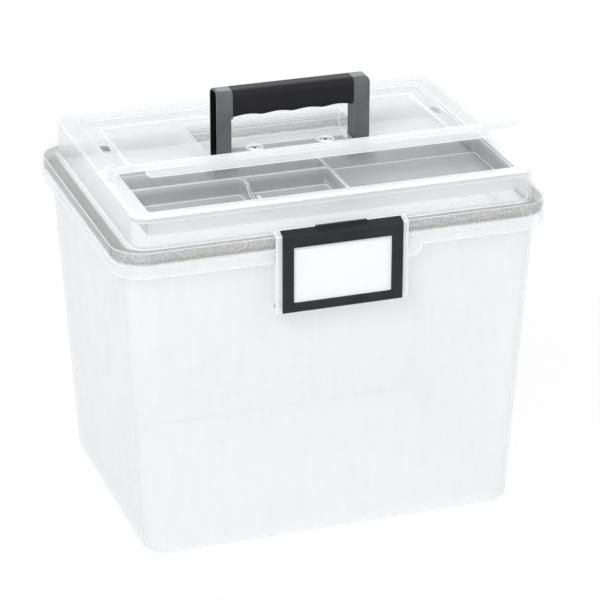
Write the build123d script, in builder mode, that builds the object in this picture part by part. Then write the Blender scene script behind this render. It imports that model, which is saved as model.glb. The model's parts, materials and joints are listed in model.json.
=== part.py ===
"""Portable file box with a gasketed lid, a lift-up organizer door, a fold-down handle and a front latch.

Units are millimetres and degrees. +Z is up, -Y is the front and +X is the right-hand side seen from
the front. The origin is the middle of the footprint, on the plane that the box stands on.
"""
import os
from math import cos, radians, sin

from build123d import *

os.makedirs("parts", exist_ok=True)

# ---------------------------------------------------------------------------------------------
# Driving sizes
# ---------------------------------------------------------------------------------------------
# Clearances
touch_gap = 0.3            # between faces of different bodies that come together
pin_gap = 0.08             # on the radius, between a pin and the hole that turns on it
slip_gap = 0.5             # between a part and the opening that it drops into

# Rim shared by the bin and the lid
rim_width = 350.0
rim_depth = 249.0
rim_radius = 26.0

# Bin
bin_height = 249.0         # standing plane to the top of the bin's flange
flange_overhang = 7.7      # the flange stands out from the bin's wall by this much
side_taper = 15.3          # each side wall leans in by this much from flange to base
front_taper = 4.4          # the front and back walls lean in by this much
bin_corner_radius = 17.5
bin_wall = 2.2
foot_height = 3.0
foot_width = 6.0
foot_edge = 1.5            # bevel where the walls meet the foot
floor_thickness = 2.6
flange_thickness = 2.2
skirt_height = 10.5
skirt_wall = 2.0
ear_width = 11.8           # lobe that hangs from the skirt to the right of the latch
ear_drop = 9.0
ear_radius = 8.0
ear_gap = 1.2

# Rails that hanging folders hook on
rail_stand_off = 8.55      # bin's side wall to the middle of the rail's upstand
rail_thickness = 1.8
rail_length = 180.0
rail_drop = 9.0            # top of the rail below the top of the bin
rail_depth = 8.0

# Lid
lid_rim_height = 10.5
lid_rim_wall = 1.8
lid_plate = 1.8
lid_wall = 2.0
rib_wall = 1.6             # upright rib between the gasket and the bin's mouth
rib_drop = 3.0             # the rib reaches this far into the bin
dome_height = 27.0
dome_side_ledge = 13.8     # flat rim outside the dome, left and right
dome_front_ledge = 5.5
dome_back_ledge = 12.2
dome_radius = 12.0
dome_edge = 1.2

# Rear half of the lid: shallow pan, ridge and slots
pan_depth = 3.0
pan_side_margin = 16.0     # from the dome's side to the pan
pan_back_margin = 12.3
pan_radius = 9.0
ridge_inset = 12.0
ridge_back_inset = 19.0
ridge_width = 2.0
ridge_height = 1.4
ridge_radius = 6.0
slot_width = 8.0
slot_length = 18.0
slot_y = 38.0

# Handle
handle_span = 126.0        # outside of one leg to the outside of the other
handle_leg = 11.8
handle_depth = 18.0
handle_rise = 60.0         # pivot to the top of the grip
handle_pivot_drop = 9.5    # pivot below the top of the lid
handle_y = -3.6
handle_corner = 3.5
handle_edge = 5.5
handle_collar = 1.5        # the frame's collar reaches this far along the grip, at each end
leg_shell = 1.4            # wall left round the hollow in each leg
leg_hollow_depth = 8.8
leg_hollow_rise = 4.0      # pivot to the bottom of the hollow
grip_height = 22.6
grip_swell = 0.4           # the soft grip stands proud of the frame, front and back
grip_core_height = 10.0
grip_core_depth = 9.0
scallop_rise = 2.7
scallop_count = 4
scallop_soft = 1.2
handle_pin_diameter = 4.0

# Recess that the handle folds into, with the raised pad between the legs
recess_side_gap = 3.5
recess_front_gap = 1.0
recess_floor_gap = 1.7
recess_back_gap = 13.2
recess_wall = 1.8
recess_radius = 4.0
pad_side_gap = 0.9
pad_depth = 24.7
pad_drop = 1.0             # pad top below the top of the lid
screw_spacing = 58.8
pad_wall = 3.4
screw_head_diameter = 8.4
screw_head_height = 1.9
screw_head_proud = 0.0     # the sunk head stands above the pad by this much
screw_pocket_gap = 0.4     # round the sunk head
screw_shank_diameter = 3.4
screw_length = 9.0
seat_diameter = 14.0
seat_width = 1.2
seat_height = 0.6
bracket_sheet = 1.8
bracket_drop = 13.0

# Organizer tray
tray_seam_y = -16.8        # where the tray's flange meets the rear half of the lid
tray_side_flange = 14.0
tray_front_flange = 8.0
tray_back_flange = 11.2
tray_depth = 19.0
tray_wall = 1.8
tray_taper = 2.0
tray_radius = 5.0
collar_height = 7.0
collar_wall = 1.5
seat_beam_depth = 6.0
divider_wall = 1.8
divider_drop = 3.0
bay_ledge = 0.2            # the compartments stand in from the tray's mouth by this much
pencil_slot_depth = 28.4
clip_bay_width = 90.0
note_bay_width = 70.0
scoop_radius = 16.0
scoop_depth = 7.0
skirt_slot_gap = 3.5       # room in the dividers behind the door's front skirt

# Organizer door
door_side_margin = 7.7     # dome's side to the side of the door
door_front_gap = 3.0       # closed door's front lip to the front of the tray's mouth
door_thickness = 2.0
door_radius = 10.0
door_open_angle = 22.5
door_hinge_back = 12.4     # hinge line in front of the tray's back edge
door_hinge_rise = 4.4      # hinge line above the tray's flange
door_barrel_diameter = 4.4
door_pin_diameter = 3.0
door_pin_length = 3.4
door_wall = 1.6
door_skirt = 9.4           # front skirt below the sheet, inside the tray's mouth
door_skirt_radius = 5.0
door_skirt_gap = 0.6       # front skirt to the tray's side walls
door_ear_wall = 3.0
door_ear_radius = 3.4

# Front latch
latch_width = 106.0
latch_height = 62.0        # bottom of the bezel to the bottom of the hook
latch_stand_off = 0.9      # rim to the back of the latch plate
latch_plate = 2.0
latch_cheek = 1.8
latch_cheek_gap = 1.3      # cheek to the bin's wall
latch_hook_reach = 4.6     # hook over the rim
latch_hook_rise = 3.3      # the hook's outer edge above its underside
latch_slope = 22.0         # slope of the latch's top face
latch_pivot_rise = 4.5     # pivot above the bottom of the bezel
latch_pivot_depth = 3.4    # pivot behind the latch plate
latch_pin_diameter = 3.0
lug_radius = 2.9
lug_width = 4.0
lug_inset = 5.0            # lug inside the cheek
bezel_width = 96.6
bezel_thickness = 2.2
bezel_border = 9.3
bezel_bottom_border = 7.7
bezel_top_border = 10.2
bezel_edge = 0.7
bezel_tab_width = 41.0
bezel_tab_rise = 1.2
card_margin = 2.5          # card hidden behind the bezel, each side
card_thickness = 0.5

# Rear hinges
hinge_spacing = 190.0
hinge_radius = 3.0
hinge_stand_off = 0.6
lid_knuckle_length = 16.0
bin_knuckle_length = 12.0
hinge_web = 2.8
hinge_pin_diameter = 2.5

# ---------------------------------------------------------------------------------------------
# Heights and places worked out from the driving sizes
# ---------------------------------------------------------------------------------------------
rail_top = bin_height - rail_drop
rail_shelf = rail_top - rail_depth
bin_top_width = rim_width - 2 * flange_overhang
bin_top_depth = rim_depth - 2 * flange_overhang
bin_bottom_width = bin_top_width - 2 * side_taper
bin_bottom_depth = bin_top_depth - 2 * front_taper
floor_top = foot_height + floor_thickness

rim_bottom = bin_height + slip_gap
rim_top = rim_bottom + lid_rim_height
lid_top = rim_top + dome_height
plate_bottom = rim_top - lid_plate
rim_front = -rim_depth / 2
rim_back = rim_depth / 2

gasket_bottom = bin_height + touch_gap
gasket_outer_width = rim_width - 2 * lid_rim_wall
gasket_outer_depth = rim_depth - 2 * lid_rim_wall
gasket_radius = rim_radius - lid_rim_wall
rib_outer_width = bin_top_width - 2 * (bin_wall + slip_gap)
rib_outer_depth = bin_top_depth - 2 * (bin_wall + slip_gap)
rib_radius = bin_corner_radius - bin_wall - slip_gap

dome_width = rim_width - 2 * dome_side_ledge
dome_front = rim_front + dome_front_ledge
dome_back = rim_back - dome_back_ledge
dome_depth = dome_back - dome_front
dome_y = (dome_front + dome_back) / 2

pan_top = lid_top - pan_depth
pan_width = dome_width - 2 * pan_side_margin
pan_back = dome_back - pan_back_margin
ridge_width_over = pan_width - 2 * ridge_inset
ridge_back = pan_back - ridge_back_inset
slot_x = (pan_width / 2 + ridge_width_over / 2) / 2

handle_pivot_z = lid_top - handle_pivot_drop
handle_top = handle_pivot_z + handle_rise
handle_inner = handle_span - 2 * handle_leg
grip_bottom = handle_top - grip_height
grip_half = handle_inner / 2 - handle_collar
core_middle = handle_top - grip_height / 2
recess_width = handle_span + 2 * recess_side_gap
recess_front = handle_y - handle_depth / 2 - recess_front_gap
recess_back = handle_y + handle_rise + recess_back_gap
recess_floor = handle_pivot_z - handle_depth / 2 - recess_floor_gap
pan_front = recess_front
pad_width = handle_inner - 2 * pad_side_gap
pad_top = lid_top - pad_drop
pad_back = recess_front + pad_depth
pad_y = (recess_front + pad_back) / 2
pad_inside_width = pad_width - 2 * lid_wall
pad_inside_depth = pad_depth - 2 * lid_wall
bracket_top = pad_top - pad_wall
screw_seat_z = pad_top + screw_head_proud - screw_head_height

flange_bottom = lid_top - lid_wall
tray_back = tray_seam_y - touch_gap
tray_mouth_half = dome_width / 2 - tray_side_flange
tray_mouth_front = dome_front + tray_front_flange
tray_mouth_back = tray_back - tray_back_flange
tray_mouth_depth = tray_mouth_back - tray_mouth_front
tray_mouth_y = (tray_mouth_back + tray_mouth_front) / 2
tray_floor_bottom = lid_top - tray_depth
tray_floor_top = tray_floor_bottom + tray_wall
divider_top = lid_top - divider_drop
pencil_wall_y = tray_mouth_back - pencil_slot_depth
clip_wall_x = -tray_mouth_half + clip_bay_width
note_wall_x = clip_wall_x + note_bay_width

door_hinge_y = tray_back - door_hinge_back
door_hinge_z = lid_top + door_hinge_rise
door_width = dome_width - 2 * door_side_margin
door_reach = door_hinge_y - tray_mouth_front - door_front_gap
door_plane = Plane(
    origin=(0, door_hinge_y, door_hinge_z),
    x_dir=(1, 0, 0),
    z_dir=(0, sin(radians(door_open_angle)), cos(radians(door_open_angle))),
)
door_rim = door_hinge_rise - door_thickness / 2 - touch_gap
door_skirt_half = tray_mouth_half - door_skirt_gap
door_skirt_bottom = door_hinge_z - door_thickness / 2 - door_skirt
door_closed_front = door_hinge_y - door_reach

latch_back = rim_front - latch_stand_off
latch_front = latch_back - latch_plate
hook_underside = rim_top + touch_gap
latch_bottom = hook_underside - latch_height
pivot_y = latch_back + latch_pivot_depth
pivot_z = latch_bottom + latch_pivot_rise
bezel_front = latch_front - bezel_thickness

hinge_y = rim_back + hinge_stand_off + hinge_radius
hinge_z = bin_height + touch_gap


# ---------------------------------------------------------------------------------------------
# Shared shapes
# ---------------------------------------------------------------------------------------------
def drafted_block(low, low_extent, high, high_extent, corner_radius):
    """A solid with flat sloping sides and rounded corners, from its X and Y extents at two heights."""
    low_left, low_right, low_front, low_back = low_extent
    high_left, high_right, high_front, high_back = high_extent
    with BuildPart() as block:
        with BuildSketch(Plane.XZ):
            with BuildLine():
                Polyline((low_left, low), (low_right, low), (high_right, high), (high_left, high), close=True)
            make_face()
        extrude(amount=rim_depth, both=True)
        with BuildSketch(Plane.YZ):
            with BuildLine():
                Polyline((low_front, low), (low_back, low), (high_back, high), (high_front, high), close=True)
            make_face()
        extrude(amount=rim_width, both=True, mode=Mode.INTERSECT)
        fillet(block.edges().filter_by(Plane.XY, reverse=True), corner_radius)
    return block.part


def bin_section(height, inset=0.0):
    """Width, depth and corner radius of the tapered bin at a height, less an inset all round."""
    share = height / bin_height
    width = bin_bottom_width + (bin_top_width - bin_bottom_width) * share
    depth = bin_bottom_depth + (bin_top_depth - bin_bottom_depth) * share
    return width - 2 * inset, depth - 2 * inset, bin_corner_radius - inset


def bin_block(low, high, inset=0.0):
    """The solid inside the bin's tapered walls between two heights, less an inset all round."""
    extents = []
    for height in (low, high):
        width, depth, corner_radius = bin_section(height, inset)
        extents.append((-width / 2, width / 2, -depth / 2, depth / 2))
    return drafted_block(low, extents[0], high, extents[1], corner_radius)


def rounded_band(width, depth, radius, wall):
    """A closed band of even thickness, drawn in the current sketch."""
    RectangleRounded(width, depth, radius)
    RectangleRounded(width - 2 * wall, depth - 2 * wall, radius - wall, mode=Mode.SUBTRACT)


def span_rectangle(x_low, x_high, y_low, y_high, mode=Mode.ADD):
    """A rectangle between two pairs of coordinates, drawn in the current sketch."""
    with Locations(((x_low + x_high) / 2, (y_low + y_high) / 2)):
        Rectangle(x_high - x_low, y_high - y_low, mode=mode)


def round_along_x(x_low, x_high, y, z, diameter, mode=Mode.ADD):
    """A round bar, or with Mode.SUBTRACT a round hole, along X in the current part."""
    with Locations(((x_low + x_high) / 2, y, z)):
        Cylinder(diameter / 2, x_high - x_low, rotation=(0, 90, 0), mode=mode)


def bearing_hole(x_low, x_high, y, z, pin_diameter):
    """The hole along X that a pin turns in, cut from the current part."""
    round_along_x(x_low, x_high, y, z, pin_diameter + 2 * pin_gap, mode=Mode.SUBTRACT)


def hinge_knuckle(x_low, x_high, web_low, web_high, web_root):
    """A hinge knuckle along X and the web that joins it to the rim, added to the current part."""
    with Locations(((x_low + x_high) / 2, (web_root + hinge_y) / 2, (web_low + web_high) / 2)):
        Box(x_high - x_low, hinge_y - web_root, web_high - web_low)
    round_along_x(x_low, x_high, hinge_y, hinge_z, 2 * hinge_radius)
    bearing_hole(x_low, x_high, hinge_y, hinge_z, hinge_pin_diameter)


# ---------------------------------------------------------------------------------------------
# Bin
# ---------------------------------------------------------------------------------------------
def wall_front(height):
    """Y of the bin's front wall, outside, at a height."""
    return -bin_section(height)[1] / 2


lug_root = wall_front(pivot_z) + bin_wall / 2
lug_x = latch_width / 2 - latch_cheek - lug_inset

with BuildPart() as file_bin:
    add(bin_block(0, bin_height))
    chamfer(file_bin.faces().sort_by(Axis.Z)[0].edges(), foot_edge)
    add(bin_block(floor_top, bin_height, bin_wall), mode=Mode.SUBTRACT)
    with BuildSketch(Plane.XY):
        RectangleRounded(*bin_section(0, foot_width))
    extrude(amount=foot_height, mode=Mode.SUBTRACT)
    with BuildSketch(Plane.XY.offset(bin_height - flange_thickness)):
        RectangleRounded(rim_width, rim_depth, rim_radius)
        RectangleRounded(*bin_section(bin_height, bin_wall), mode=Mode.SUBTRACT)
    extrude(amount=flange_thickness)
    with BuildSketch(Plane.XY.offset(bin_height - skirt_height)):
        rounded_band(rim_width, rim_depth, rim_radius, skirt_wall)
    extrude(amount=skirt_height)
    with BuildSketch(Plane.XZ.offset(-rim_front - skirt_wall)) as ear_sketch:
        ear_left = latch_width / 2 + ear_gap
        ear_bottom = bin_height - skirt_height - ear_drop
        span_rectangle(ear_left, ear_left + ear_width, ear_bottom, bin_height - flange_thickness)
        fillet(ear_sketch.vertices().group_by(Axis.X)[-1].sort_by(Axis.Y)[0], ear_radius)
    extrude(amount=skirt_wall)
    # Two lugs on the front wall that carry the latch pin
    for lug_start in (-lug_x, lug_x - lug_width):
        with BuildSketch(Plane.YZ.offset(lug_start)):
            with Locations((pivot_y, pivot_z)):
                Circle(lug_radius)
            span_rectangle(pivot_y, lug_root, pivot_z - lug_radius, pivot_z + lug_radius)
        extrude(amount=lug_width)
        bearing_hole(lug_start, lug_start + lug_width, pivot_y, pivot_z, latch_pin_diameter)
    for hinge_x in (-hinge_spacing / 2, hinge_spacing / 2):
        for direction in (-1, 1):
            near = hinge_x + direction * (lid_knuckle_length / 2 + touch_gap)
            far = near + direction * bin_knuckle_length
            web_root = rim_back - skirt_wall / 2
            hinge_knuckle(min(near, far), max(near, far), bin_height - hinge_web, bin_height, web_root)

# ---------------------------------------------------------------------------------------------
# Rails for hanging folders
# ---------------------------------------------------------------------------------------------
def inner_wall_x(height):
    """X of the bin's right-hand wall, inside, at a height."""
    return bin_section(height, bin_wall)[0] / 2


def folder_rail(side):
    """A hooked ledge on a side wall: an upstand on a shelf with a sloping underside."""
    rail_middle = inner_wall_x(rail_shelf) - rail_stand_off
    rail_inner = rail_middle - rail_thickness / 2
    rail_outer = rail_middle + rail_thickness / 2
    shelf_top = rail_shelf + rail_thickness
    slope_bottom = rail_shelf - (inner_wall_x(rail_shelf) - rail_inner)
    with BuildPart() as rail:
        with BuildSketch(Plane.XZ):
            with BuildLine():
                Polyline(
                    (side * rail_inner, rail_top),
                    (side * rail_outer, rail_top),
                    (side * rail_outer, shelf_top),
                    (side * inner_wall_x(shelf_top), shelf_top),
                    (side * inner_wall_x(slope_bottom), slope_bottom),
                    (side * rail_inner, rail_shelf),
                    close=True,
                )
            make_face()
        extrude(amount=rail_length / 2, both=True)
    return rail.part


# ---------------------------------------------------------------------------------------------
# Gasket
# ---------------------------------------------------------------------------------------------
with BuildPart() as gasket:
    with BuildSketch(Plane.XY.offset(gasket_bottom)):
        RectangleRounded(gasket_outer_width, gasket_outer_depth, gasket_radius)
        RectangleRounded(rib_outer_width, rib_outer_depth, rib_radius, mode=Mode.SUBTRACT)
    extrude(amount=plate_bottom - gasket_bottom)

# ---------------------------------------------------------------------------------------------
# Lid
# ---------------------------------------------------------------------------------------------
lid_mouth_front = -(rib_outer_depth / 2 - rib_wall)
lid_mouth_back = dome_back - lid_wall
seam_beam_half = dome_width / 2 - lid_wall / 2
ridge_inside = ridge_width_over / 2 - ridge_width
recess_outer = recess_width / 2 + recess_wall
knuckle_half = lid_knuckle_length / 2

# Rim and dome
with BuildPart() as lid_shell:
    # Flat rim plate, outer wall and the rib that holds the gasket and centres the lid
    with BuildSketch(Plane.XY.offset(plate_bottom)):
        RectangleRounded(rim_width, rim_depth, rim_radius)
    extrude(amount=lid_plate)
    with BuildSketch(Plane.XY.offset(rim_bottom)):
        rounded_band(rim_width, rim_depth, rim_radius, lid_rim_wall)
    extrude(amount=lid_rim_height)
    with BuildSketch(Plane.XY.offset(bin_height - rib_drop)):
        rounded_band(rib_outer_width, rib_outer_depth, rib_radius, rib_wall)
    extrude(amount=plate_bottom - bin_height + rib_drop)
    # Raised dome with walls all round, open below, and open above in front of the tray seam
    with BuildSketch(Plane.XY.offset(rim_top)):
        with Locations((0, dome_y)):
            RectangleRounded(dome_width, dome_depth, dome_radius)
    extrude(amount=dome_height)
    chamfer(lid_shell.faces().sort_by(Axis.Z)[-1].edges(), dome_edge)
    with BuildSketch(Plane.XY.offset(rim_top)):
        with Locations((0, dome_y)):
            RectangleRounded(dome_width - 2 * lid_wall, dome_depth - 2 * lid_wall, dome_radius - lid_wall)
    extrude(amount=dome_height - lid_wall, mode=Mode.SUBTRACT)
    with BuildSketch(Plane.XY.offset(plate_bottom)):
        with Locations((0, (lid_mouth_front + lid_mouth_back) / 2)):
            RectangleRounded(dome_width - 2 * lid_wall, lid_mouth_back - lid_mouth_front, dome_radius - lid_wall)
    extrude(amount=lid_plate, mode=Mode.SUBTRACT)
    with BuildSketch(Plane.XY.offset(flange_bottom)):
        span_rectangle(-dome_width, dome_width, 2 * dome_front, tray_seam_y)
    extrude(amount=2 * lid_wall, mode=Mode.SUBTRACT)
    with BuildSketch(Plane.XY.offset(flange_bottom - lid_wall)):
        span_rectangle(-seam_beam_half, seam_beam_half, tray_back - seat_beam_depth, recess_front)
    extrude(amount=lid_wall)

# Pan, recess, hinge knuckles
with BuildPart() as lid:
    add(lid_shell.part)
    # Shallow pan in the rear half of the top, with a ridge on three sides and a slot at each side
    with BuildSketch(Plane.XY.offset(pan_top - lid_wall)):
        span_rectangle(-pan_width / 2 - lid_wall, pan_width / 2 + lid_wall, pan_front, pan_back + lid_wall)
    extrude(amount=pan_depth)
    with BuildSketch(Plane.XY.offset(pan_top)) as pan_sketch:
        span_rectangle(-pan_width / 2, pan_width / 2, pan_front, pan_back)
        fillet(pan_sketch.vertices().group_by(Axis.Y)[-1], pan_radius)
    extrude(amount=2 * pan_depth, mode=Mode.SUBTRACT)
    with BuildSketch(Plane.XY.offset(pan_top)) as ridge_sketch:
        span_rectangle(-ridge_width_over / 2, ridge_width_over / 2, pan_front, ridge_back)
        fillet(ridge_sketch.vertices().group_by(Axis.Y)[-1], ridge_radius)
        span_rectangle(-ridge_inside, ridge_inside, pan_front, ridge_back - ridge_width, mode=Mode.SUBTRACT)
    extrude(amount=ridge_height)
    with BuildSketch(Plane.XY.offset(pan_top - lid_wall)):
        with Locations((-slot_x, slot_y), (slot_x, slot_y)):
            SlotOverall(slot_length, slot_width, rotation=90)
    extrude(amount=lid_wall, mode=Mode.SUBTRACT)
    # Deep recess that takes the folded handle, with a raised hollow pad between the handle's legs
    with BuildSketch(Plane.XY.offset(recess_floor - recess_wall)):
        span_rectangle(-recess_outer, recess_outer, recess_front - recess_wall, recess_back + recess_wall)
    extrude(amount=pan_top - recess_floor + recess_wall)
    with BuildSketch(Plane.XY.offset(recess_floor)) as recess_sketch:
        span_rectangle(-recess_width / 2, recess_width / 2, recess_front, recess_back)
        fillet(recess_sketch.vertices().group_by(Axis.Y)[-1], recess_radius)
    extrude(amount=2 * (lid_top - recess_floor), mode=Mode.SUBTRACT)
    with BuildSketch(Plane.XY.offset(recess_floor)):
        span_rectangle(-pad_width / 2, pad_width / 2, recess_front, pad_back)
    extrude(amount=pad_top - recess_floor)
    with BuildSketch(Plane.XY.offset(recess_floor - recess_wall)):
        with Locations((0, pad_y)):
            Rectangle(pad_inside_width, pad_inside_depth)
    extrude(amount=bracket_top - recess_floor + recess_wall, mode=Mode.SUBTRACT)
    with BuildSketch(Plane.XY.offset(pad_top)):
        with Locations((-screw_spacing / 2, handle_y), (screw_spacing / 2, handle_y)):
            Circle(seat_diameter / 2)
            Circle(seat_diameter / 2 - seat_width, mode=Mode.SUBTRACT)
    extrude(amount=seat_height)
    with Locations((-screw_spacing / 2, handle_y, pad_top), (screw_spacing / 2, handle_y, pad_top)):
        CounterBoreHole(screw_shank_diameter / 2 + pin_gap, screw_head_diameter / 2 + screw_pocket_gap,
                        pad_top - screw_seat_z, depth=pad_wall)
    bearing_hole(-recess_outer, recess_outer, handle_y, handle_pivot_z, handle_pin_diameter)
    for hinge_x in (-hinge_spacing / 2, hinge_spacing / 2):
        web_root = rim_back - lid_rim_wall / 2
        hinge_knuckle(hinge_x - knuckle_half, hinge_x + knuckle_half, rim_bottom, rim_bottom + hinge_web, web_root)

# ---------------------------------------------------------------------------------------------
# Organizer tray
# ---------------------------------------------------------------------------------------------
def tray_outline(inset=0.0):
    """The front part of the dome's outline, back to the seam, drawn in the current sketch."""
    with Locations((0, dome_y)):
        RectangleRounded(dome_width - 2 * inset, dome_depth - 2 * inset, dome_radius - inset)
    span_rectangle(-dome_width, dome_width, 2 * dome_front, tray_back - inset, mode=Mode.INTERSECT)


def tray_bay(x_low, x_high, y_low, y_high):
    """The hollow of one compartment, with rounded corners and walls that draw in downwards."""
    draft = (lid_top - tray_floor_top) * sin(radians(tray_taper))
    floor_extent = (x_low + draft, x_high - draft, y_low + draft, y_high - draft)
    return drafted_block(tray_floor_top, floor_extent, lid_top, (x_low, x_high, y_low, y_high),
                         tray_radius - tray_wall)


half_divider = divider_wall / 2
bay_half = tray_mouth_half - bay_ledge
bay_front = tray_mouth_front + bay_ledge
bay_back = tray_mouth_back - bay_ledge
tray_bays = (
    # x_low, x_high, y_low, y_high of each compartment
    (-bay_half, note_wall_x - half_divider, pencil_wall_y + half_divider, bay_back),
    (-bay_half, clip_wall_x - half_divider, bay_front, pencil_wall_y - half_divider),
    (clip_wall_x + half_divider, note_wall_x - half_divider, bay_front, pencil_wall_y - half_divider),
    (note_wall_x + half_divider, bay_half, bay_front, bay_back),
)

with BuildPart() as organizer_tray:
    with BuildSketch(Plane.XY.offset(flange_bottom)):
        tray_outline()
    extrude(amount=lid_wall)
    chamfer(organizer_tray.faces().sort_by(Axis.Z)[-1].edges().filter_by_position(
        Axis.Y, 2 * dome_front, tray_back - 1), dome_edge)
    with BuildSketch(Plane.XY.offset(lid_top - collar_height)):
        tray_outline(lid_wall + slip_gap)
        collar_inner = lid_wall + slip_gap + collar_wall
        with Locations((0, dome_y)):
            RectangleRounded(dome_width - 2 * collar_inner, dome_depth - 2 * collar_inner,
                             dome_radius - collar_inner, mode=Mode.SUBTRACT)
    extrude(amount=collar_height - lid_wall)
    with BuildSketch(Plane.XY.offset(lid_top - collar_height)):
        span_rectangle(-dome_width, dome_width, tray_back - seat_beam_depth - slip_gap, 0)
    extrude(amount=collar_height - lid_wall, mode=Mode.SUBTRACT)
    with BuildSketch(Plane.XY.offset(flange_bottom)):
        with Locations((0, tray_mouth_y)):
            RectangleRounded(2 * (tray_mouth_half + tray_wall), tray_mouth_depth + 2 * tray_wall, tray_radius)
    extrude(amount=tray_floor_bottom - flange_bottom, taper=tray_taper)
    with BuildSketch(Plane.XY.offset(divider_top)):
        with Locations((0, tray_mouth_y)):
            RectangleRounded(2 * tray_mouth_half, tray_mouth_depth, tray_radius - tray_wall)
    extrude(amount=lid_top - divider_top, mode=Mode.SUBTRACT)
    for bay in tray_bays:
        add(tray_bay(*bay), mode=Mode.SUBTRACT)
    scoop_y = (pencil_wall_y + tray_mouth_front) / 2
    scoop_z = divider_top + scoop_radius - scoop_depth
    round_along_x(clip_wall_x - divider_wall, clip_wall_x + divider_wall, scoop_y, scoop_z,
                  2 * scoop_radius, mode=Mode.SUBTRACT)
    with BuildSketch(Plane.XY.offset(divider_top)):
        slot_back = door_closed_front + door_wall + skirt_slot_gap
        slot_half = (note_wall_x - clip_wall_x) / 2 + divider_wall
        with Locations(((clip_wall_x + note_wall_x) / 2, (slot_back + tray_mouth_front) / 2)):
            Rectangle(2 * slot_half, slot_back - tray_mouth_front)
    extrude(amount=door_skirt_bottom - slip_gap - divider_top, mode=Mode.SUBTRACT)
    for ear_side in (-1, 1):
        ear_start = ear_side * (door_width / 2 + touch_gap)
        ear_low = min(ear_start, ear_start + ear_side * door_ear_wall)
        with BuildSketch(Plane.YZ.offset(ear_low)):
            with Locations((door_hinge_y, door_hinge_z)):
                Circle(door_ear_radius)
            span_rectangle(door_hinge_y - door_ear_radius, door_hinge_y + door_ear_radius,
                           flange_bottom, door_hinge_z)
        extrude(amount=door_ear_wall)
        bearing_hole(ear_low, ear_low + door_ear_wall, door_hinge_y, door_hinge_z, door_pin_diameter)

# ---------------------------------------------------------------------------------------------
# Organizer door, drawn on its own plane: local +X right, local -Y towards the free edge
# ---------------------------------------------------------------------------------------------
with BuildPart() as organizer_door:
    half_sheet = door_thickness / 2
    with BuildSketch(door_plane.offset(-half_sheet)) as door_sketch:
        span_rectangle(-door_width / 2, door_width / 2, -door_reach, 0)
        fillet(door_sketch.vertices().group_by(Axis.Y)[0], door_radius)
    extrude(amount=door_thickness)
    with BuildSketch(door_plane.offset(-half_sheet)) as door_rim_sketch:
        rim_back_edge = -door_barrel_diameter
        span_rectangle(-door_width / 2, door_width / 2, -door_reach, rim_back_edge)
        fillet(door_rim_sketch.vertices().group_by(Axis.Y)[0], door_radius)
    extrude(amount=-door_rim)
    with BuildSketch(door_plane.offset(-half_sheet)) as door_inside_sketch:
        inside_half = door_width / 2 - door_wall
        span_rectangle(-inside_half, inside_half, -door_reach + door_wall, 0)
        fillet(door_inside_sketch.vertices().group_by(Axis.Y)[0], door_radius - door_wall)
    extrude(amount=-door_rim, mode=Mode.SUBTRACT)
    skirt_plane = Plane(origin=door_plane.origin - door_reach * door_plane.y_dir, x_dir=(1, 0, 0),
                        z_dir=door_plane.y_dir)
    with BuildSketch(skirt_plane) as skirt_sketch:
        span_rectangle(-door_skirt_half, door_skirt_half, half_sheet, half_sheet + door_skirt)
        fillet(skirt_sketch.vertices().group_by(Axis.Y)[-1], door_skirt_radius)
    extrude(amount=door_wall)
    barrel_plane = Plane(origin=door_plane.origin, x_dir=(0, 1, 0), z_dir=(1, 0, 0))
    with BuildSketch(barrel_plane.offset(-door_width / 2)):
        Circle(door_barrel_diameter / 2)
    extrude(amount=door_width)
    pin_span = door_width + 2 * door_pin_length
    with BuildSketch(barrel_plane.offset(-pin_span / 2)):
        Circle(door_pin_diameter / 2)
    extrude(amount=pin_span)

# ---------------------------------------------------------------------------------------------
# Handle: rigid frame, soft grip, pins, bracket and screws
# ---------------------------------------------------------------------------------------------
handle_plane = Plane.XZ.offset(-handle_y)

with BuildPart() as handle_frame:
    with BuildSketch(handle_plane) as frame_sketch:
        span_rectangle(-handle_span / 2, handle_span / 2, handle_pivot_z, handle_top)
        fillet(frame_sketch.vertices().group_by(Axis.Y)[-1], handle_corner)
        span_rectangle(-grip_half, grip_half, grip_bottom, handle_top, mode=Mode.SUBTRACT)
        span_rectangle(-handle_inner / 2, handle_inner / 2, handle_pivot_z, grip_bottom, mode=Mode.SUBTRACT)
    extrude(amount=handle_depth, both=True)
    with BuildSketch(Plane.YZ) as side_sketch:
        span_rectangle(handle_y - handle_depth / 2, handle_y + handle_depth / 2, handle_pivot_z, handle_top)
        fillet(side_sketch.vertices().group_by(Axis.Y)[-1], handle_edge)
    extrude(amount=handle_span, both=True, mode=Mode.INTERSECT)
    for leg_low in (-handle_span / 2, handle_inner / 2):
        round_along_x(leg_low, leg_low + handle_leg, handle_y, handle_pivot_z, handle_depth)
    with BuildSketch(handle_plane):
        with Locations((0, core_middle)):
            Rectangle(2 * grip_half, grip_core_height)
    extrude(amount=grip_core_depth / 2, both=True)
    hollow_top = handle_top - leg_shell
    hollow_bottom = handle_pivot_z + leg_hollow_rise
    hollow_half = handle_depth / 2 - leg_shell
    for leg_low in (-handle_span / 2, handle_span / 2 - leg_hollow_depth):
        with BuildSketch(Plane.YZ.offset(leg_low)) as hollow_sketch:
            span_rectangle(handle_y - hollow_half, handle_y + hollow_half, hollow_bottom, hollow_top)
            fillet(hollow_sketch.vertices(), handle_edge - leg_shell)
        extrude(amount=leg_hollow_depth, mode=Mode.SUBTRACT)
    bearing_hole(-handle_span / 2, handle_span / 2, handle_y, handle_pivot_z, handle_pin_diameter)

grip_depth = handle_depth + 2 * grip_swell
scallop_pitch = 2 * grip_half / scallop_count
scallop_ends = [(-grip_half + scallop_pitch * step, grip_bottom) for step in range(scallop_count + 1)]

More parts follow.
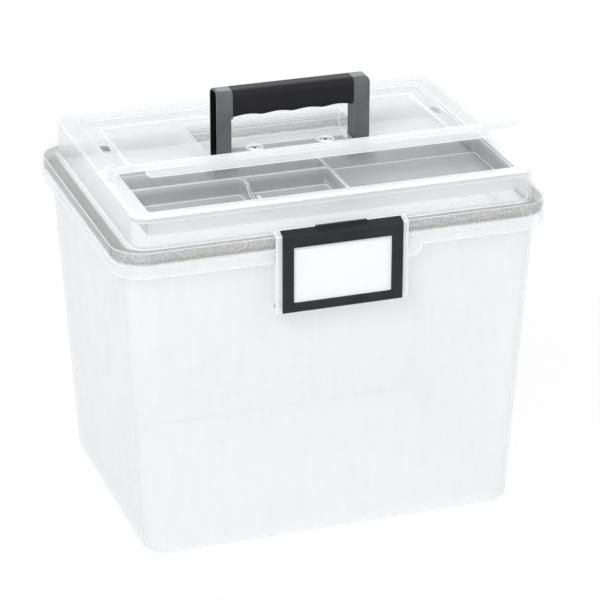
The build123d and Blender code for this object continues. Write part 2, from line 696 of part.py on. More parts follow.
with BuildPart() as handle_grip:
    with BuildSketch(handle_plane) as grip_sketch:
        with BuildLine():
            for left_end, right_end in zip(scallop_ends, scallop_ends[1:]):
                crest = ((left_end[0] + right_end[0]) / 2, grip_bottom + scallop_rise)
                ThreePointArc(left_end, crest, right_end)
            Polyline(scallop_ends[-1], (grip_half, handle_top), (-grip_half, handle_top), scallop_ends[0])
        make_face()
        cusps = grip_sketch.vertices().group_by(Axis.Y)[0].sort_by(Axis.X)[1:-1]
        fillet(cusps, scallop_soft)
    extrude(amount=handle_depth, both=True)
    with BuildSketch(Plane.YZ) as grip_side_sketch:
        span_rectangle(handle_y - grip_depth / 2, handle_y + grip_depth / 2, grip_bottom, handle_top)
        fillet(grip_side_sketch.vertices(), handle_edge + grip_swell)
    extrude(amount=handle_span, both=True, mode=Mode.INTERSECT)
    with BuildSketch(handle_plane):
        with Locations((0, core_middle)):
            Rectangle(2 * grip_half, grip_core_height)
    extrude(amount=grip_core_depth / 2, both=True, mode=Mode.SUBTRACT)

bracket_width = pad_inside_width - slip_gap
bracket_depth = pad_inside_depth - slip_gap
screw_places = (-screw_spacing / 2, screw_spacing / 2)

with BuildPart() as handle_bracket:
    with BuildSketch(Plane.XZ.offset(-pad_y)):
        span_rectangle(-bracket_width / 2, bracket_width / 2, bracket_top - bracket_drop, bracket_top)
        inside = bracket_width / 2 - bracket_sheet
        span_rectangle(-inside, inside, bracket_top - bracket_drop, bracket_top - bracket_sheet,
                       mode=Mode.SUBTRACT)
    extrude(amount=bracket_depth / 2, both=True)
    with Locations(*[(x, handle_y, bracket_top) for x in screw_places]):
        Hole(screw_shank_diameter / 2, depth=bracket_sheet)
    round_along_x(-bracket_width / 2, bracket_width / 2, handle_y, handle_pivot_z,
                  handle_pin_diameter, mode=Mode.SUBTRACT)


def handle_pin(side):
    """A steel pin from the bracket, through the pad and a leg, into the recess's side wall."""
    start = bracket_width / 2 - bracket_sheet
    end = recess_width / 2 + recess_wall
    with BuildPart() as pin:
        round_along_x(min(side * start, side * end), max(side * start, side * end),
                      handle_y, handle_pivot_z, handle_pin_diameter)
    return pin.part


def handle_screw(x):
    """A flat-headed screw through the pad and the bracket."""
    with BuildPart() as screw:
        with BuildSketch(Plane.XY.offset(screw_seat_z)):
            with Locations((x, handle_y)):
                Circle(screw_head_diameter / 2)
        extrude(amount=screw_head_height)
        with BuildSketch(Plane.XY.offset(screw_seat_z - screw_length)):
            with Locations((x, handle_y)):
                Circle(screw_shank_diameter / 2)
        extrude(amount=screw_length)
    return screw.part


# ---------------------------------------------------------------------------------------------
# Front latch: body, bezel, card and pin
# ---------------------------------------------------------------------------------------------
slope_rise = sin(radians(latch_slope)) / cos(radians(latch_slope))
hook_back = rim_front + latch_hook_reach
hook_back_top = hook_underside + latch_hook_rise
shoulder_z = hook_back_top - (hook_back - latch_front) * slope_rise
cheek_back = wall_front(bin_height - skirt_height) - latch_cheek_gap
cheek_top = bin_height - skirt_height - slip_gap - touch_gap
body_bottom = latch_bottom + touch_gap

with BuildPart() as latch_body:
    with BuildSketch(Plane.YZ):
        with BuildLine():
            Polyline(
                (latch_front, body_bottom),
                (latch_front, shoulder_z),
                (hook_back, hook_back_top),
                (hook_back, hook_underside),
                (latch_back, hook_underside),
                (latch_back, body_bottom),
                close=True,
            )
        make_face()
    extrude(amount=latch_width / 2, both=True)
    for notch_start in (-lug_x, lug_x - lug_width):
        with BuildSketch(Plane.XZ.offset(-latch_back)):
            span_rectangle(notch_start - slip_gap, notch_start + lug_width + slip_gap,
                           latch_bottom, pivot_z + 2 * lug_radius)
        extrude(amount=latch_plate, mode=Mode.SUBTRACT)
    for cheek_low in (-latch_width / 2, latch_width / 2 - latch_cheek):
        with BuildSketch(Plane.YZ.offset(cheek_low)) as cheek_sketch:
            span_rectangle(latch_front, cheek_back, pivot_z - latch_pivot_rise + touch_gap, cheek_top)
            fillet(cheek_sketch.vertices().group_by(Axis.X)[-1].sort_by(Axis.Y)[0],
                   latch_pivot_rise - touch_gap)
        extrude(amount=latch_cheek)
        bearing_hole(cheek_low, cheek_low + latch_cheek, pivot_y, pivot_z, latch_pin_diameter)

window_half = bezel_width / 2 - bezel_border
window_bottom = latch_bottom + bezel_bottom_border
window_top = shoulder_z - bezel_top_border
bezel_back = hook_back - bezel_thickness

with BuildPart() as latch_bezel:
    with BuildSketch(Plane.YZ):
        with BuildLine():
            Polyline(
                (bezel_front, latch_bottom),
                (bezel_front, shoulder_z),
                (bezel_back, shoulder_z + (bezel_back - bezel_front) * slope_rise),
                (bezel_back, shoulder_z + (bezel_back - latch_front) * slope_rise),
                (latch_front, shoulder_z),
                (latch_front, latch_bottom),
                close=True,
            )
        make_face()
    extrude(amount=bezel_width / 2, both=True)
    chamfer(latch_bezel.faces().sort_by(Axis.Y)[0].edges(), bezel_edge)
    with BuildSketch(Plane.XZ.offset(-latch_front)):
        span_rectangle(-window_half, window_half, window_bottom, window_top)
    extrude(amount=bezel_thickness, taper=-latch_slope, mode=Mode.SUBTRACT)
    with BuildSketch(Plane.XZ.offset(-latch_front)):
        span_rectangle(-window_half - card_margin, window_half + card_margin,
                       window_bottom - card_margin, window_top + card_margin)
    extrude(amount=card_thickness, mode=Mode.SUBTRACT)
    tab_back_low = shoulder_z + (bezel_back - latch_front) * slope_rise
    tab_top = shoulder_z + (bezel_back - bezel_front) * slope_rise + bezel_tab_rise
    with BuildSketch(Plane.XZ.offset(-bezel_back)):
        span_rectangle(-bezel_tab_width / 2, bezel_tab_width / 2, tab_back_low, tab_top)
    extrude(amount=bezel_thickness)

with BuildPart() as label_card:
    with BuildSketch(Plane.XZ.offset(-latch_front)):
        span_rectangle(-window_half - card_margin, window_half + card_margin,
                       window_bottom - card_margin, window_top + card_margin)
    extrude(amount=card_thickness)

with BuildPart() as latch_pin:
    round_along_x(-latch_width / 2, latch_width / 2, pivot_y, pivot_z, latch_pin_diameter)


def hinge_pin(x):
    """A steel pin through the three knuckles of one rear hinge."""
    half = lid_knuckle_length / 2 + touch_gap + bin_knuckle_length
    with BuildPart() as pin:
        round_along_x(x - half, x + half, hinge_y, hinge_z, hinge_pin_diameter)
    return pin.part


# ---------------------------------------------------------------------------------------------
# Labels and export
# ---------------------------------------------------------------------------------------------
pieces = {
    "bin": file_bin.part,
    "folder_rail_left": folder_rail(-1),
    "folder_rail_right": folder_rail(1),
    "gasket": gasket.part,
    "lid": lid.part,
    "organizer_tray": organizer_tray.part,
    "organizer_door": organizer_door.part,
    "handle_frame": handle_frame.part,
    "handle_grip": handle_grip.part,
    "handle_bracket": handle_bracket.part,
    "handle_pin_left": handle_pin(-1),
    "handle_pin_right": handle_pin(1),
    "handle_screw_left": handle_screw(screw_places[0]),
    "handle_screw_right": handle_screw(screw_places[1]),
    "latch_body": latch_body.part,
    "latch_bezel": latch_bezel.part,
    "label_card": label_card.part,
    "latch_pin": latch_pin.part,
    "hinge_pin_left": hinge_pin(-hinge_spacing / 2),
    "hinge_pin_right": hinge_pin(hinge_spacing / 2),
}
for piece_name, piece in pieces.items():
    piece.label = piece_name
    export_step(piece, f"parts/{piece_name}.step")
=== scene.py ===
"""Clear portable file box: finishes, fine pieces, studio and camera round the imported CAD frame.

Lengths are metres in the frame of the CAD: +Z up, -Y the front, +X right, origin under the box.
"""
import json

import bpy
import numpy as np
from mathutils import Matrix, Vector


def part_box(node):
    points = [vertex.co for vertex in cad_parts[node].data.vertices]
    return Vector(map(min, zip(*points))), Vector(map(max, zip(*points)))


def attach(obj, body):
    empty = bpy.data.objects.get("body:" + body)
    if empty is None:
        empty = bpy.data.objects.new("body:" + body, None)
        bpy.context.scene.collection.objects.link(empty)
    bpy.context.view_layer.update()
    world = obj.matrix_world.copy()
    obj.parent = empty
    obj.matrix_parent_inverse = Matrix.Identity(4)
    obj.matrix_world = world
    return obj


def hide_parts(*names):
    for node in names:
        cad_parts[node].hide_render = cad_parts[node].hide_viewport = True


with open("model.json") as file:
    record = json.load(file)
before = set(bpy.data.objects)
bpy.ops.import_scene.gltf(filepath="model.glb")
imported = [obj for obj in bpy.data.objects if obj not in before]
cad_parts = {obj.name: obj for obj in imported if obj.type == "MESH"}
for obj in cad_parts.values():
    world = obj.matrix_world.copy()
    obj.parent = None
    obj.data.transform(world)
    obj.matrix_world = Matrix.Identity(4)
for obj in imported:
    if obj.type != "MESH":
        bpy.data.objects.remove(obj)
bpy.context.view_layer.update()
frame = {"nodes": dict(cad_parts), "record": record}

nodes = frame["nodes"]
MM = 0.001

# Where things are on the box, for the finishes that change from place to place
PLATE_TOP = 260.3 * MM          # the lid's rim plate over the seal ends here and the dome starts
BAY_FLOOR = 277.0 * MM          # the painted shade in the tray's compartments is deepest below this height and gone, leaving them as pale as its rim, from this height up
BAY_TOP = 286.0 * MM            # and as pale as its rim from this height up
BAY_FRONT, BAY_BACK = -110.0 * MM, -20.0 * MM
DIVIDER_TOP = 284.2 * MM
HANDLE_TOP = 337.5 * MM
HANDLE_SIDE = 63.0 * MM         # middle of the handle to the outside of a leg
HANDLE_MIDDLE = -3.6 * MM       # middle of the handle, front to back
HANDLE_HALF_DEPTH = 9.0 * MM
LEG_EDGE = 5.5 * MM             # radius of the edges along the legs, front and back
LEG_CORNER = 3.5 * MM           # radius of the handle's top corners
LEG_SKIN = 1.25 * MM            # wall round the hollow in each leg
HOLLOW_FLOOR = 53.2 * MM        # the hollow's floor, from the middle of the handle
HOLLOW_BOTTOM = 281.1 * MM


# ---------------------------------------------------------------------------------------------
# Shader building
# ---------------------------------------------------------------------------------------------
class Value:
    """One number socket of a shader. Arithmetic on it adds the Math node that does the same."""

    def __init__(self, finish, socket):
        self.finish = finish
        self.socket = socket

    def math(self, operation, *others):
        numbers = dict(enumerate(others))
        return self.finish.node("ShaderNodeMath", {"operation": operation}, numbers)

    def __add__(self, other):
        return self.math("ADD", self, other)

    def __sub__(self, other):
        return self.math("SUBTRACT", self, other)

    def __rsub__(self, other):
        return self.math("SUBTRACT", other, self)

    def __mul__(self, other):
        return self.math("MULTIPLY", self, other)

    __radd__ = __add__
    __rmul__ = __mul__

    def above(self, low, high):
        """0 below low, 1 above high and a smooth step in between."""
        settings = {"interpolation_type": "SMOOTHSTEP"}
        inputs = {"Value": self, "From Min": low, "From Max": high}
        return self.finish.node("ShaderNodeMapRange", settings, inputs)

    def between(self, low, high, soft):
        """1 from low to high and 0 beyond, with steps of width soft."""
        return self.above(low - soft, low) * (1 - self.above(high, high + soft))

    def size(self):
        """The value without its sign."""
        return self.math("ABSOLUTE", self)

    def clamp(self):
        """The value held between 0 and 1."""
        return self.finish.node("ShaderNodeClamp", {}, {"Value": self})


class Finish:
    """A material made of one Principled shader and the nodes that feed it."""

    def __init__(self, name, **shader_numbers):
        self.material = bpy.data.materials.new(name)
        self.material.use_nodes = True
        self.tree = self.material.node_tree
        self.tree.nodes.clear()
        self.shader = self.tree.nodes.new("ShaderNodeBsdfPrincipled")
        self.output = self.tree.nodes.new("ShaderNodeOutputMaterial")
        self.tree.links.new(self.shader.outputs["BSDF"], self.output.inputs["Surface"])
        self.feed(self.shader, {name.replace("_", " "): number for name, number in shader_numbers.items()})

    def feed(self, node, inputs):
        """Sets or links a node's sockets from plain numbers, tuples, Values or sockets."""
        for key, value in inputs.items():
            socket = node.inputs[key]
            if isinstance(value, Value):
                self.tree.links.new(value.socket, socket)
            elif isinstance(value, bpy.types.NodeSocket):
                self.tree.links.new(value, socket)
            elif isinstance(value, tuple) and socket.type == "RGBA":
                socket.default_value = value + (1.0,)
            else:
                socket.default_value = value

    def node(self, kind, settings, inputs, output=0):
        """Adds any node: its type, its settings, then the values or links of its sockets."""
        node = self.tree.nodes.new(kind)
        for key, value in settings.items():
            setattr(node, key, value)
        self.feed(node, inputs)
        socket = node.outputs[output]
        return Value(self, socket) if socket.type == "VALUE" else socket

    def point(self, stretch=(1.0, 1.0, 1.0)):
        """The place on the object in metres, stretched for patterns with a direction."""
        place = self.node("ShaderNodeTexCoord", {}, {}, "Object")
        if stretch == (1.0, 1.0, 1.0):
            return place
        return self.node("ShaderNodeVectorMath", {"operation": "MULTIPLY"}, {0: place, 1: stretch})

    def along(self, axis):
        """How far the point is from the object's origin along X, Y or Z, in metres."""
        return self.node("ShaderNodeSeparateXYZ", {}, {"Vector": self.point()}, axis)

    def lies_flat(self):
        """1 on level faces and 0 on walls."""
        normal = self.node("ShaderNodeNewGeometry", {}, {}, "Normal")
        return self.node("ShaderNodeSeparateXYZ", {}, {"Vector": normal}, "Z").size().above(0.75, 0.95)

    def noise(self, grain, stretch=(1.0, 1.0, 1.0), detail=2.0, rough=0.5):
        """Soft random values round 0.5 with features about grain metres across."""
        inputs = {"Vector": self.point(stretch), "Scale": 1 / grain, "Detail": detail, "Roughness": rough}
        return self.node("ShaderNodeTexNoise", {}, inputs, "Fac")

    def cells(self, grain):
        """Distance from the middle of the nearest random cell, for speckle."""
        inputs = {"Vector": self.point(), "Scale": 1 / grain}
        return self.node("ShaderNodeTexVoronoi", {}, inputs, "Distance")

    def blend(self, share, first, second):
        """A colour between two others."""
        settings = {"data_type": "RGBA", "blend_type": "MIX"}
        inputs = {0: share, 6: first, 7: second}
        return self.node("ShaderNodeMix", settings, inputs, 2)

    def edges(self, radius):
        """A normal that rounds sharp corners, and a mask that is 1 where it leaves the face's own."""
        soft = self.node("ShaderNodeBevel", {"samples": 4}, {"Radius": radius}, "Normal")
        true = self.node("ShaderNodeNewGeometry", {}, {}, "Normal")
        dot_product = {"operation": "DOT_PRODUCT"}
        agreement = self.node("ShaderNodeVectorMath", dot_product, {0: soft, 1: true}, "Value")
        return soft, (1 - agreement).above(0.005, 0.16)

    def bump(self, height, strength, distance, normal=None):
        """A normal tilted by a height pattern, on top of another normal if one is given."""
        inputs = {"Height": height, "Strength": strength, "Distance": distance}
        if normal is not None:
            inputs["Normal"] = normal
        return self.node("ShaderNodeBump", {}, inputs)

    def surface(self, **inputs):
        """Links the Principled shader's sockets and gives the finished material."""
        self.feed(self.shader, {name.replace("_", " "): value for name, value in inputs.items()})
        return self.material


class Backdrop(Finish):
    """The nodes of a world, built by the same calls and expressions."""

    def __init__(self, name):
        self.world = bpy.data.worlds.new(name)
        self.world.use_nodes = True
        self.tree = self.world.node_tree
        self.tree.nodes.clear()
        self.output = self.tree.nodes.new("ShaderNodeOutputWorld")


# ---------------------------------------------------------------------------------------------
# Finishes
# ---------------------------------------------------------------------------------------------
def clear_polypropylene(name, haze, tint, frost, shade=None, thicker=None):
    """See-through moulded sheet: milky haze, edges painted white with an emitted glow as a painted
    highlight, milkier where it is seen side-on and greyer there as a painted shade.

    haze is how much of what lies behind is hidden, and frost the roughness.
    shade is an optional (colour, function of the finish that gives a mask) for a painted shade: the tint
    deepens there.
    thicker is an optional function of the finish that gives haze to add from place to place.
    """
    finish = Finish(name, IOR=1.49, Specular_IOR_Level=0.34, Emission_Strength=1.0)
    soft_normal, edge = finish.edges(1.4 * MM)
    cloud = finish.noise(60 * MM, detail=3.0)
    flow = finish.noise(9 * MM, stretch=(1.0, 1.0, 0.16), detail=2.0)
    grain = finish.noise(0.5 * MM, detail=1.0)
    glancing = finish.node("ShaderNodeLayerWeight", {}, {"Blend": 0.5}, "Facing")
    side_on = glancing.above(0.60, 1.0)

    alpha = haze + (cloud - 0.5) * 0.08 + (flow - 0.5) * 0.04 + edge * 0.85 + side_on * 0.50
    if thicker:
        alpha = alpha + thicker(finish)
    if shade:
        deep, mask = shade
        tint = finish.blend(mask(finish), tint, deep)
    # Painted shade: the tint greys where the sheet is seen side-on
    colour = finish.blend(side_on * 0.6, tint, (0.80, 0.81, 0.82))
    # Painted highlight: the edges turn near white and glow by emission, standing in for the gloss along the
    # rounded edges
    colour = finish.blend(edge, colour, (0.98, 0.985, 0.99))
    painted_edge_highlight = finish.blend(edge, (0.0, 0.0, 0.0), (0.36, 0.365, 0.37))
    roughness = frost + (cloud - 0.5) * 0.10 + (grain - 0.5) * 0.06
    normal = finish.bump(flow + grain * 0.06, 0.05, 0.6 * MM, soft_normal)
    return finish.surface(Base_Color=colour, Roughness=roughness, Alpha=alpha.clamp(),
                          Emission_Color=painted_edge_highlight, Normal=normal)


def speckled_foam():
    """Grey closed-cell foam: dark and pale specks on a soft pitted surface."""
    finish = Finish("seal_foam", Specular_IOR_Level=0.2)
    pits = finish.cells(1.1 * MM).above(0.12, 0.55)
    specks = finish.noise(1.7 * MM, detail=4.0, rough=0.85).above(0.44, 0.56)
    patches = finish.noise(14 * MM)
    colour = finish.blend(specks, (0.27, 0.26, 0.243), (0.97, 0.95, 0.90))
    colour = finish.blend(patches.above(0.3, 0.7) * 0.10, colour, (0.70, 0.68, 0.64))
    return finish.surface(Base_Color=colour, Roughness=0.86 - pits * 0.12,
                          Normal=finish.bump(pits + specks * 0.4, 0.45, 0.3 * MM))


def moulded_plastic(name, colour, pale_tone_and_edge_highlight, gloss_roughness, grain_size, shade=None):
    """Satin moulded plastic: fine spark-eroded grain, faint flow marks, and paler corners and edges painted
    as a highlight.

    shade is an optional (colour, function of the finish that gives a mask) for a zone of another colour.
    """
    finish = Finish(name, Specular_IOR_Level=0.32)
    soft_normal, edge = finish.edges(0.5 * MM)
    grain = finish.noise(grain_size, detail=2.0, rough=0.6)
    cloud = finish.noise(22 * MM, detail=3.0)
    # Paler in random clouds of tone, and paler along the edges as a painted highlight
    mixed = finish.blend((cloud.above(0.25, 0.75) * 0.35 + edge * 0.5).clamp(), colour, pale_tone_and_edge_highlight)
    if shade:
        deep, mask = shade
        mixed = finish.blend(mask(finish), mixed, deep)
    return finish.surface(Base_Color=mixed, Roughness=gloss_roughness + (cloud - 0.5) * 0.12 - edge * 0.08,
                          Normal=finish.bump(grain, 0.22, 0.10 * MM, soft_normal))


def zinc_steel():
    """Dull zinc-plated steel with a faint crystal mottling and drawn scratches, with a painted shade that
    darkens its recesses.
    """
    finish = Finish("zinc_steel", Metallic=1.0)
    mottle = finish.cells(1.6 * MM)
    scratch = finish.noise(0.3 * MM, stretch=(0.05, 1.0, 1.0), detail=2.0)
    colour = finish.blend(mottle.above(0.1, 0.8), (0.34, 0.34, 0.33), (0.22, 0.22, 0.22))
    # Painted shade: near black where ambient occlusion finds a recess
    recess_shade = finish.node("ShaderNodeAmbientOcclusion", {"samples": 6}, {"Distance": 2.0 * MM}, "AO")
    colour = finish.blend(recess_shade.above(0.35, 0.9), (0.03, 0.03, 0.03), colour)
    return finish.surface(Base_Color=colour, Roughness=0.30 + scratch * 0.18,
                          Normal=finish.bump(scratch, 0.10, 0.05 * MM))


def paper_card():
    """Plain white card with faint fibres."""
    finish = Finish("white_card", Specular_IOR_Level=0.3)
    fibres = finish.noise(0.35 * MM, stretch=(1.0, 1.0, 0.35), detail=4.0, rough=0.7)
    cloud = finish.noise(18 * MM)
    mixed = (fibres * 0.7 + cloud * 0.3).above(0.2, 0.8)
    colour = finish.blend(mixed, (0.905, 0.905, 0.912), (0.88, 0.88, 0.886))
    return finish.surface(Base_Color=colour, Roughness=0.72 + fibres * 0.12,
                          Normal=finish.bump(fibres, 0.12, 0.05 * MM))


def painted_bay_shade(finish):
    """1 in the tray's compartments, from just under the rim down, and 0 on its outer walls: where the tray
    gets its painted shade.
    """
    deep = 1 - finish.along("Z").above(BAY_FLOOR, BAY_TOP)
    return deep * finish.along("Y").between(BAY_FRONT, BAY_BACK, 0.5 * MM)


def past(value, line):
    """How far a value is past a line, and 0 before it."""
    return value.math("MAXIMUM", value - line, 0.0)


def beyond_circle(across, along, radius):
    """1 outside a circle's radius and 0 inside it, from the two distances to its middle."""
    return (across * across + along * along).above(radius ** 2, (radius + 0.15 * MM) ** 2)


def leg_channel(finish):
    """1 in the hollow that runs down the outside of each leg of the handle.

    The hollow's section is the leg's own rounded section less a skin: its corners are as far from the
    centres of the leg's rounded edges as the edges' radius less that skin.
    """
    x, z = finish.along("X").size(), finish.along("Z")
    sideways = past((finish.along("Y") - HANDLE_MIDDLE).size(), HANDLE_HALF_DEPTH - LEG_EDGE)
    upward = past(z, HANDLE_TOP - LEG_EDGE)
    section = 1 - beyond_circle(sideways, upward, LEG_EDGE - LEG_SKIN)
    outward = past(x, HANDLE_SIDE - LEG_CORNER)
    over = past(z, HANDLE_TOP - LEG_CORNER)
    shoulder = beyond_circle(outward, over, LEG_CORNER - LEG_SKIN)
    shoulder_height = HANDLE_TOP - LEG_CORNER
    shoulder = shoulder * z.above(shoulder_height - 0.1 * MM, shoulder_height + 0.1 * MM)
    deep_enough = x.above(HOLLOW_FLOOR, HOLLOW_FLOOR + 0.4 * MM)
    high_enough = z.above(HOLLOW_BOTTOM, HOLLOW_BOTTOM + 0.2 * MM)
    return section * (1 - shoulder) * deep_enough * high_enough


def tray_milkiness(finish):
    """More haze on the tray's rim and the tops of its dividers."""
    return finish.along("Z").above(DIVIDER_TOP, DIVIDER_TOP + 0.6 * MM) * 0.30


def dome_levels(finish):
    """1 on the level faces of the lid's dome, and 0 on its walls and on the rim's plate over the seal."""
    return finish.lies_flat() * finish.along("Z").above(PLATE_TOP, PLATE_TOP + 0.5 * MM)


def lid_milkiness(finish):
    """More haze on the lid's level faces than on its walls, and most on those of the dome."""
    return finish.lies_flat() * 0.08 + dome_levels(finish) * 0.14


finishes = {
    "clear_plastic": clear_polypropylene("clear_plastic", 0.17, (0.84, 0.85, 0.855), 0.16),
    "seal_foam": speckled_foam(),
    "grey_plastic": moulded_plastic("grey_plastic", (0.096, 0.098, 0.104), (0.24, 0.243, 0.25),
                                    gloss_roughness=0.42, grain_size=0.30 * MM,
                                    shade=((0.006, 0.006, 0.006), leg_channel)),
    "grip_rubber": moulded_plastic("grip_rubber", (0.004, 0.004, 0.005), (0.010, 0.0105, 0.012),
                                   gloss_roughness=0.66, grain_size=0.22 * MM),
    "black_plastic": moulded_plastic("black_plastic", (0.0085, 0.009, 0.010), (0.033, 0.034, 0.036),
                                     gloss_roughness=0.42, grain_size=0.28 * MM),
    "white_card": paper_card(),
    "plated_steel": zinc_steel(),
}
milk = (0.96, 0.963, 0.966)
own_finishes = {
    "bin": clear_polypropylene("clear_bin", 0.29, (0.945, 0.948, 0.951), 0.20),
    # Painted shade: the dome's level faces get a greyer tint than its walls
    "lid": clear_polypropylene("clear_lid", 0.22, milk, 0.20,
                               shade=((0.80, 0.804, 0.808), dome_levels), thicker=lid_milkiness),
    # Painted shade: the tray's compartments are tinted a darker grey than its rim
    "organizer_tray": clear_polypropylene("frosted_tray", 0.50, milk, 0.34,
                                          shade=((0.52, 0.525, 0.535), painted_bay_shade), thicker=tray_milkiness),
    "organizer_door": clear_polypropylene("clear_door", 0.34, milk, 0.14),
    "latch_body": clear_polypropylene("milky_latch", 0.60, milk, 0.26),
}
for part in frame["record"]["subparts"]:
    mesh = nodes[part["node"]].data
    mesh.materials.clear()
    mesh.materials.append(own_finishes.get(part["node"]) or finishes[part["material_slot"]])


# ---------------------------------------------------------------------------------------------
# Fine pieces
# ---------------------------------------------------------------------------------------------
def smooth_step(values, low, high):
    """0 below low, 1 above high and a cubic ease between, for arrays."""
    share = np.clip((values - low) / (high - low), 0.0, 1.0)
    return share * share * (3 - 2 * share)


def closed_grid(name, points):
    """A mesh from an array of points [row, column, xyz] whose columns go round.

    There is a quad for each four neighbours, the last column joined to the first, and an n-gon that
    closes the first row and the last.
    """
    rows, columns = points.shape[:2]
    row, column = np.meshgrid(np.arange(rows - 1), np.arange(columns), indexing="ij")
    after = (column + 1) % columns
    corners = np.stack([row * columns + column, row * columns + after,
                        (row + 1) * columns + after, (row + 1) * columns + column], axis=-1).reshape(-1, 4)
    faces = [tuple(corner) for corner in corners.tolist()]
    faces.append(tuple(range(columns))[::-1])
    faces.append(tuple(range((rows - 1) * columns, rows * columns)))
    mesh = bpy.data.meshes.new(name)
    mesh.from_pydata(points.reshape(-1, 3).tolist(), [], faces)
    mesh.shade_smooth()
    return mesh


def cross_screw(name, node):
    """A pan-head screw in place of a plain one.

    The head is a dome that falls by a square law from its middle to its rolled edge. The cross recess is
    cut out of the dome: its depth is greatest in the middle and shoals towards the ends of four arms, and
    its walls lean by a smooth step across the arm's half-width. The shank's radius swells and shrinks with
    a triangle wave of the height less the turn, which makes one thread, and it tapers to a point.
    """
    low, high = (np.array(corner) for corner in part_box(node))
    middle = (low + high) / 2
    head_radius = (high[0] - low[0]) / 2
    head_height, dome_fall = 1.9 * MM, 0.45 * MM
    arm, recess_depth = 2.5 * MM, 1.25 * MM
    arm_floor, arm_mouth = 0.38 * MM, 0.72 * MM
    shank_radius, thread_depth, pitch = 1.62 * MM, 0.42 * MM, 1.2 * MM
    turn = np.linspace(0, 2 * np.pi, 96, endpoint=False)

    out = np.linspace(0.01, 1.0, 40)[:, None] * head_radius * 0.94
    x, y = out * np.cos(turn), out * np.sin(turn)
    dome = high[2] - dome_fall * (out / head_radius) ** 2
    blades = [1 - smooth_step(np.abs(across), arm_floor, arm_mouth) for across in (x, y)]
    reach = [1 - smooth_step(np.abs(along), 0.4 * arm, arm) for along in (y, x)]
    recess = np.maximum(blades[0] * reach[0], blades[1] * reach[1])
    rows = [np.stack([x, y, dome - recess_depth * recess], axis=-1)]

    # Share of the head's radius and drop below its top, in mm, of the rings that round and close the head
    for share, drop in ((0.985, 0.62), (1.0, 0.85), (1.0, head_height / MM), (0.42, head_height / MM)):
        ring = np.stack([share * head_radius * np.cos(turn), share * head_radius * np.sin(turn),
                         np.full_like(turn, high[2] - drop * MM)], axis=-1)
        rows.append(ring[None])

    under_head = high[2] - head_height
    height = np.linspace(under_head, low[2] + 0.02 * MM, 110)[:, None]
    wave = np.abs(((height / pitch - turn / (2 * np.pi)) % 1.0) * 2 - 1)
    taper = smooth_step(height, low[2] - 0.6 * MM, low[2] + 2.4 * MM)
    run_in = smooth_step(under_head - height, 0.0, 0.8 * MM)
    thread = (shank_radius - thread_depth * wave * run_in) * taper
    rows.append(np.stack([thread * np.cos(turn), thread * np.sin(turn), height + 0 * turn], axis=-1))

    points = np.concatenate(rows)[::-1]
    points[..., :2] += middle[:2]
    piece = bpy.data.objects.new(name, closed_grid(name, points))
    bpy.context.scene.collection.objects.link(piece)
    piece.data.materials.append(finishes["plated_steel"])
    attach(piece, "lid")
    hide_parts(node)


cross_screw("screw_left_fine", "handle_screw_left")
cross_screw("screw_right_fine", "handle_screw_right")


# ---------------------------------------------------------------------------------------------
# Studio and camera
# ---------------------------------------------------------------------------------------------
def seen_directly(finish):
    """1 for rays that show the backdrop to the eye: straight, reflected or through clear plastic."""
    path = {}
    for name in ("Is Camera Ray", "Is Glossy Ray", "Is Transmission Ray"):
        path[name] = finish.node("ShaderNodeLightPath", {}, {}, name)
    return (path["Is Camera Ray"] + path["Is Glossy Ray"] + path["Is Transmission Ray"]).clamp()


def studio_floor():
    """A pale floor that shows white and keeps a light shadow under the object."""
    half = 6.0
    corners = [(-half, -half, 0.0), (half, -half, 0.0), (half, half, 0.0), (-half, half, 0.0)]
    mesh = bpy.data.meshes.new("studio_floor")
    mesh.from_pydata(corners, [], [(0, 1, 2, 3)])
    floor = bpy.data.objects.new("studio_floor", mesh)
    bpy.context.scene.collection.objects.link(floor)
    finish = Finish("studio_floor", Base_Color=(0.93, 0.93, 0.93), Roughness=0.9)
    white = finish.node("ShaderNodeEmission", {}, {"Color": (1.0, 1.0, 1.0), "Strength": 1.0}, "Emission")
    layers = {0: seen_directly(finish) * 0.86, 1: finish.shader.outputs["BSDF"], 2: white}
    mixed = finish.node("ShaderNodeMixShader", {}, layers)
    finish.tree.links.new(mixed, finish.output.inputs["Surface"])
    mesh.materials.append(finish.material)


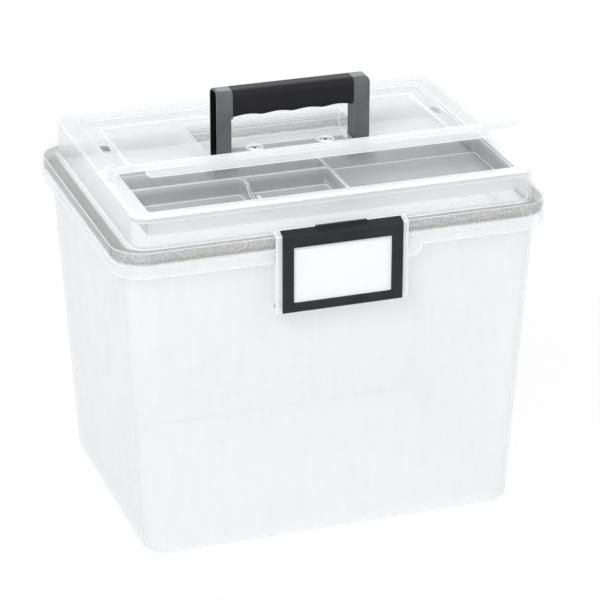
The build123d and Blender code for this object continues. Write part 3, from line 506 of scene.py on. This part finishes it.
def studio_world():
    """White to the eye, also in reflections, and a soft even grey as light."""
    backdrop = Backdrop("studio_world")
    bpy.context.scene.world = backdrop.world
    light = backdrop.node("ShaderNodeBackground", {}, {"Color": (0.93, 0.96, 1.0), "Strength": 0.55})
    shown = backdrop.node("ShaderNodeBackground", {}, {"Color": (1.0, 1.0, 1.0), "Strength": 1.0})
    mixed = backdrop.node("ShaderNodeMixShader", {}, {0: seen_directly(backdrop), 1: light, 2: shown})
    backdrop.tree.links.new(mixed, backdrop.output.inputs["Surface"])


def softbox(name, place, aim, width, height, power):
    """A rectangular area lamp that faces a point."""
    lamp = bpy.data.lights.new(name, "AREA")
    lamp.shape = "RECTANGLE"
    lamp.size = width
    lamp.size_y = height
    lamp.energy = power
    holder = bpy.data.objects.new(name, lamp)
    holder.location = place
    holder.rotation_euler = (Vector(aim) - Vector(place)).to_track_quat("-Z", "Y").to_euler()
    bpy.context.scene.collection.objects.link(holder)


def studio_camera():
    """A long lens, high in front and to the left of the box."""
    lens = bpy.data.cameras.new("camera")
    lens.sensor_width = 36.0
    lens.lens = 174.67
    holder = bpy.data.objects.new("camera", lens)
    right = Vector((0.94536, -0.32603, 0.00231))
    up = Vector((0.12846, 0.37898, 0.91644))
    back = Vector((-0.29966, -0.86607, 0.40016))
    turn = Matrix((right, up, back)).transposed().to_4x4()
    holder.matrix_world = Matrix.Translation((-0.6950, -2.0371, 1.0896)) @ turn
    bpy.context.scene.collection.objects.link(holder)
    bpy.context.scene.camera = holder


studio_floor()
studio_world()
box_middle = (0.0, 0.0, 0.15)
softbox("key_light", (-1.5, -1.6, 2.2), box_middle, width=1.4, height=1.4, power=42.0)
softbox("fill_light", (1.9, -1.2, 1.3), box_middle, width=1.2, height=1.6, power=14.0)
softbox("rim_light", (0.6, 1.9, 1.7), box_middle, width=1.8, height=0.9, power=26.0)
studio_camera()

scene = bpy.context.scene
scene.view_settings.view_transform = "Standard"
scene.cycles.max_bounces = 24
scene.cycles.transmission_bounces = 20
scene.cycles.transparent_max_bounces = 48
